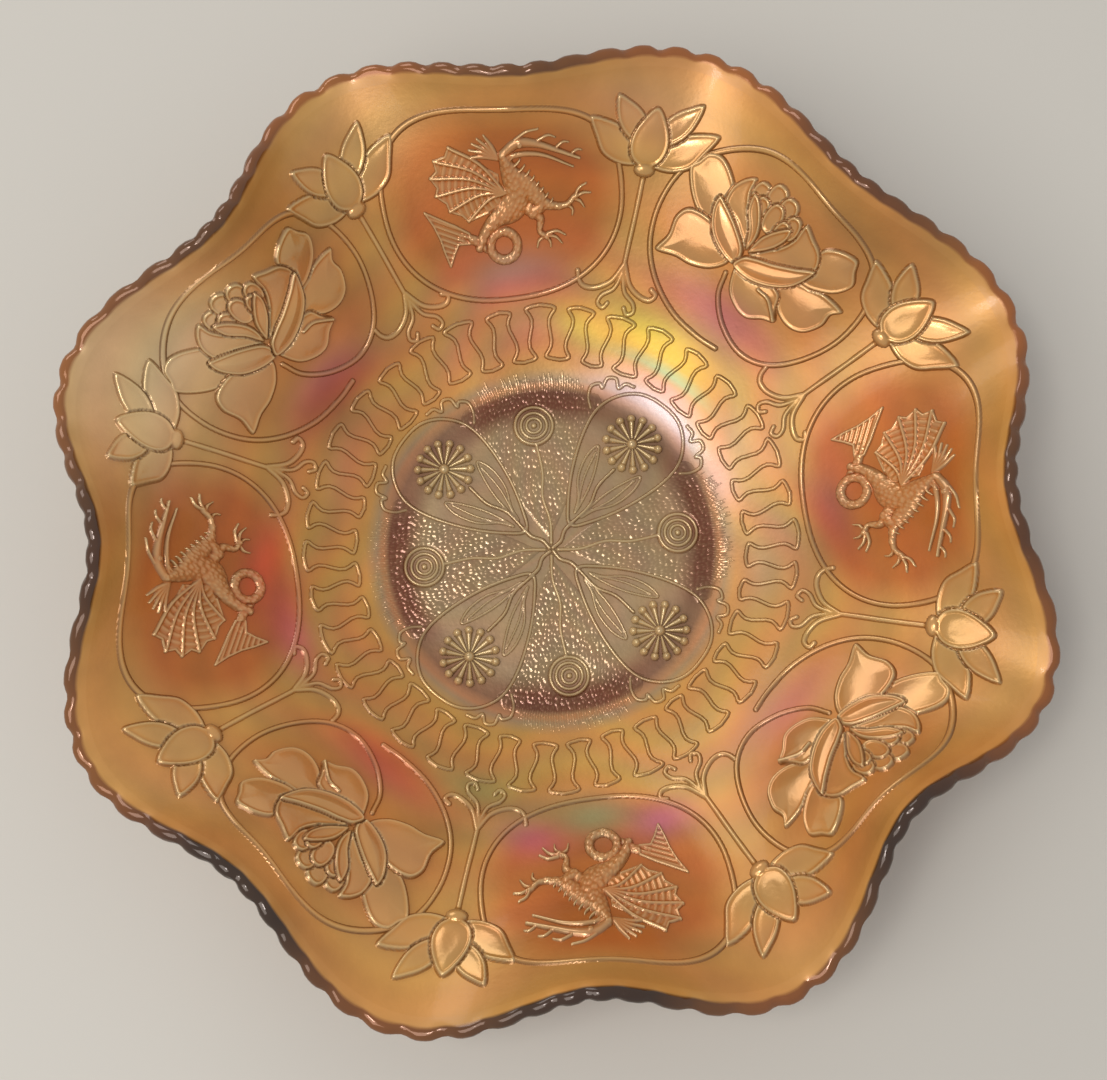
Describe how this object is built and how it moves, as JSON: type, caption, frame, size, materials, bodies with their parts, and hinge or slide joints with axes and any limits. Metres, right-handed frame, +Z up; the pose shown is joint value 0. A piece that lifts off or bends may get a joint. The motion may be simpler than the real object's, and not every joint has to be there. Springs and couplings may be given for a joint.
{
  "type": "ruffled footed bowl",
  "caption": "Ruffled pressed-glass bowl on a collar foot, with raised dragon and lotus medallions, a looped ribbon band and a furred centre.",
  "frame": {"origin": "centre of the foot's underside, on the surface that the bowl stands on", "axes": "+Z up out of the bowl; +X and +Y through the middles of two neighbouring dragon medallions"},
  "size_m": [0.2248, 0.2248, 0.0587],
  "materials": {
    "marigold_glass": "satin iridescent pressed glass",
    "relief_glass": "iridescent pressed glass with bright crests",
    "rim_glass": "dark glossy edge",
    "foot_glass": "clear amber glass"
  },
  "bodies": {
    "root": {"bowl_body": "marigold_glass", "rim_edge": "rim_glass", "collar_foot": "foot_glass", "dragon_1": "relief_glass", "dragon_medallion_cord_1": "relief_glass", "target_1": "relief_glass", "furred_ground_1": "relief_glass", "ribbon_band_1": "relief_glass", "lotus_1": "relief_glass", "lotus_medallion_cord_1": "relief_glass", "petal_1": "relief_glass", "rosette_1": "relief_glass", "dragon_2": "relief_glass", "dragon_medallion_cord_2": "relief_glass", "target_2": "relief_glass", "furred_ground_2": "relief_glass", "ribbon_band_2": "relief_glass", "lotus_2": "relief_glass", "lotus_medallion_cord_2": "relief_glass", "petal_2": "relief_glass", "rosette_2": "relief_glass", "dragon_3": "relief_glass", "dragon_medallion_cord_3": "relief_glass", "target_3": "relief_glass", "furred_ground_3": "relief_glass", "ribbon_band_3": "relief_glass", "lotus_3": "relief_glass", "lotus_medallion_cord_3": "relief_glass", "petal_3": "relief_glass", "rosette_3": "relief_glass", "dragon_4": "relief_glass", "dragon_medallion_cord_4": "relief_glass", "target_4": "relief_glass", "furred_ground_4": "relief_glass", "ribbon_band_4": "relief_glass", "lotus_4": "relief_glass", "lotus_medallion_cord_4": "relief_glass", "petal_4": "relief_glass", "rosette_4": "relief_glass", "bud_spray_1": "relief_glass", "bud_spray_2": "relief_glass", "bud_spray_3": "relief_glass", "bud_spray_4": "relief_glass", "bud_spray_5": "relief_glass", "bud_spray_6": "relief_glass", "bud_spray_7": "relief_glass", "bud_spray_8": "relief_glass"}
  },
  "joints": []
}
